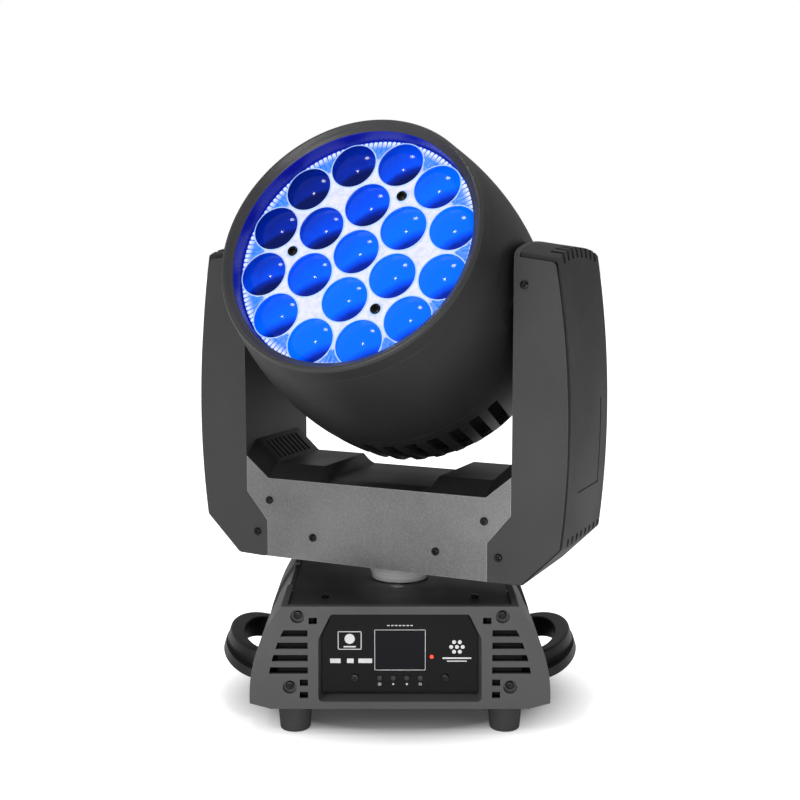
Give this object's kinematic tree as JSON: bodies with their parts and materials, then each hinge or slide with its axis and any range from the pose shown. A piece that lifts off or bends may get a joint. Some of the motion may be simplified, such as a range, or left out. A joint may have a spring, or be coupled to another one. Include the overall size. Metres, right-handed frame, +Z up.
{
  "type": "moving head light",
  "caption": "Moving head wash light: base with control panel and side handles, panning yoke, tilting round head with zooming lenses.",
  "frame": {"origin": "on the floor under the pan axis, at the centre of the four feet's screw recesses", "axes": "+Z up along the pan axis, the control panel faces -Y, +X to the right seen from the front"},
  "size_m": [0.3902, 0.3321, 0.551],
  "materials": {
    "bezel_plastic": "fine textured charcoal moulding",
    "dark_plastic": "satin near-black moulding",
    "arm_plastic": "satin textured dark grey",
    "cover_plastic": "satin black",
    "crossbar_metal": "hammered mid grey coat",
    "head_plastic": "satin dark grey",
    "rim_plastic": "satin dark grey",
    "rubber_black": "matt",
    "panel_gloss": "gloss black fascia",
    "screen_glass": "gloss",
    "led_red": "lit red",
    "button_plastic": "satin",
    "polished_aluminium": "turned and polished",
    "dull_aluminium": "mill finish",
    "bearing_steel": "ground",
    "screw_steel": "black oxide",
    "frame_steel": "black powder coat",
    "motor_steel": "black",
    "belt_rubber": "matt",
    "circuit_board": "solder mask",
    "supply_metal": "zinc",
    "lens_plastic": "clear moulded lens lit blue",
    "lens_carrier": "clear ribbed moulding lit from behind",
    "socket_plastic": "satin"
  },
  "bodies": {
    "base": {"bottom_plate": "frame_steel", "feet": "rubber_black", "front_bezel": "bezel_plastic", "rear_bezel": "bezel_plastic", "side_cover_left": "bezel_plastic", "side_cover_right": "bezel_plastic", "handle_left": "dark_plastic", "handle_right": "dark_plastic", "top_plate": "dark_plastic", "pan_bearing": "bearing_steel", "control_panel": "panel_gloss", "display_screen": "screen_glass", "status_led": "led_red", "main_board": "circuit_board", "power_supply": "supply_metal", "pan_motor": "motor_steel", "pan_belt": "belt_rubber", "connector_plate": "frame_steel", "power_sockets": "socket_plastic", "data_sockets": "socket_plastic", "fuse_holder": "socket_plastic", "base_screws": "screw_steel"},
    "yoke": {"pan_hub": "polished_aluminium", "pan_gear": "dull_aluminium", "crossbar_front": "crossbar_metal", "crossbar_rear": "crossbar_metal", "crossbar_tray": "frame_steel", "yoke_frame": "frame_steel", "arm_shell_left": "arm_plastic", "arm_shell_right": "arm_plastic", "arm_cover_left": "cover_plastic", "arm_cover_right": "cover_plastic", "crossbar_cover": "cover_plastic", "tilt_bearings": "bearing_steel", "tilt_motor": "motor_steel", "tilt_belt": "belt_rubber", "yoke_screws": "screw_steel"},
    "head": {"front_ring": "rim_plastic", "front_shell": "head_plastic", "rear_shell": "head_plastic", "rear_grille": "head_plastic", "tilt_shafts": "bearing_steel", "tilt_gear": "dull_aluminium", "tilt_brackets": "frame_steel", "heat_sink": "dull_aluminium", "led_board": "circuit_board", "fan_frame": "socket_plastic", "zoom_motor": "motor_steel"},
    "lens_carriage": {"lens_plate": "lens_carrier", "lenses": "lens_plastic", "lens_screws": "screw_steel", "carriage_posts": "dull_aluminium"},
    "zoom_screw": {"zoom_screw": "bearing_steel"},
    "fan_rotor": {"fan_rotor": "socket_plastic"},
    "pan_pinion": {"pan_pinion": "dull_aluminium"},
    "tilt_pinion": {"tilt_pinion": "dull_aluminium"},
    "button_1": {"button_1": "button_plastic"},
    "button_2": {"button_2": "button_plastic"},
    "button_3": {"button_3": "button_plastic"},
    "button_4": {"button_4": "button_plastic"}
  },
  "joints": [
    {"name": "pan", "type": "hinge", "parent": "base", "child": "yoke", "pos_m": [0, 0, 0.12], "axis": [0, 0, 1], "range_deg": [-245, 295]},
    {"name": "tilt", "type": "hinge", "parent": "yoke", "child": "head", "pos_m": [-0.0038, -0.00816, 0.3876], "axis": [0.9063, -0.4226, 0], "range_deg": [-196, 74]},
    {"name": "zoom", "type": "slide", "parent": "head", "child": "lens_carriage", "axis": [-0.3696, -0.7927, 0.4848], "range_m": [-0.02, 0.006]},
    {"name": "zoom_spin", "type": "hinge", "parent": "head", "child": "zoom_screw", "pos_m": [-0.07677, -0.01273, 0.40699], "axis": [-0.3696, -0.7927, 0.4848], "range_deg": [-950, 310]},
    {"name": "fan_spin", "type": "hinge", "parent": "head", "child": "fan_rotor", "pos_m": [0.01911, 0.04099, 0.35754], "axis": [-0.3696, -0.7927, 0.4848], "continuous": true},
    {"name": "pan_drive", "type": "hinge", "parent": "base", "child": "pan_pinion", "pos_m": [0.07, 0, 0.085], "axis": [0, 0, 1], "range_deg": [-985, 1185]},
    {"name": "tilt_drive", "type": "hinge", "parent": "yoke", "child": "tilt_pinion", "pos_m": [-0.13975, 0.05524, 0.2776], "axis": [0.9063, -0.4226, 0], "range_deg": [-790, 300]},
    {"name": "press_1", "type": "slide", "parent": "base", "child": "button_1", "axis": [0, 1, 0], "range_m": [0, 0.0008], "stiffness_N_per_m": 400, "springref_m": -0.001},
    {"name": "press_2", "type": "slide", "parent": "base", "child": "button_2", "axis": [0, 1, 0], "range_m": [0, 0.0008], "stiffness_N_per_m": 400, "springref_m": -0.001},
    {"name": "press_3", "type": "slide", "parent": "base", "child": "button_3", "axis": [0, 1, 0], "range_m": [0, 0.0008], "stiffness_N_per_m": 400, "springref_m": -0.001},
    {"name": "press_4", "type": "slide", "parent": "base", "child": "button_4", "axis": [0, 1, 0], "range_m": [0, 0.0008], "stiffness_N_per_m": 400, "springref_m": -0.001}
  ],
  "couplings": [
    {"joint": "zoom_spin", "follows": "zoom", "rad_per_m": 785.4},
    {"joint": "pan_drive", "follows": "pan", "ratio": 4},
    {"joint": "tilt_drive", "follows": "tilt", "ratio": 4}
  ]
}
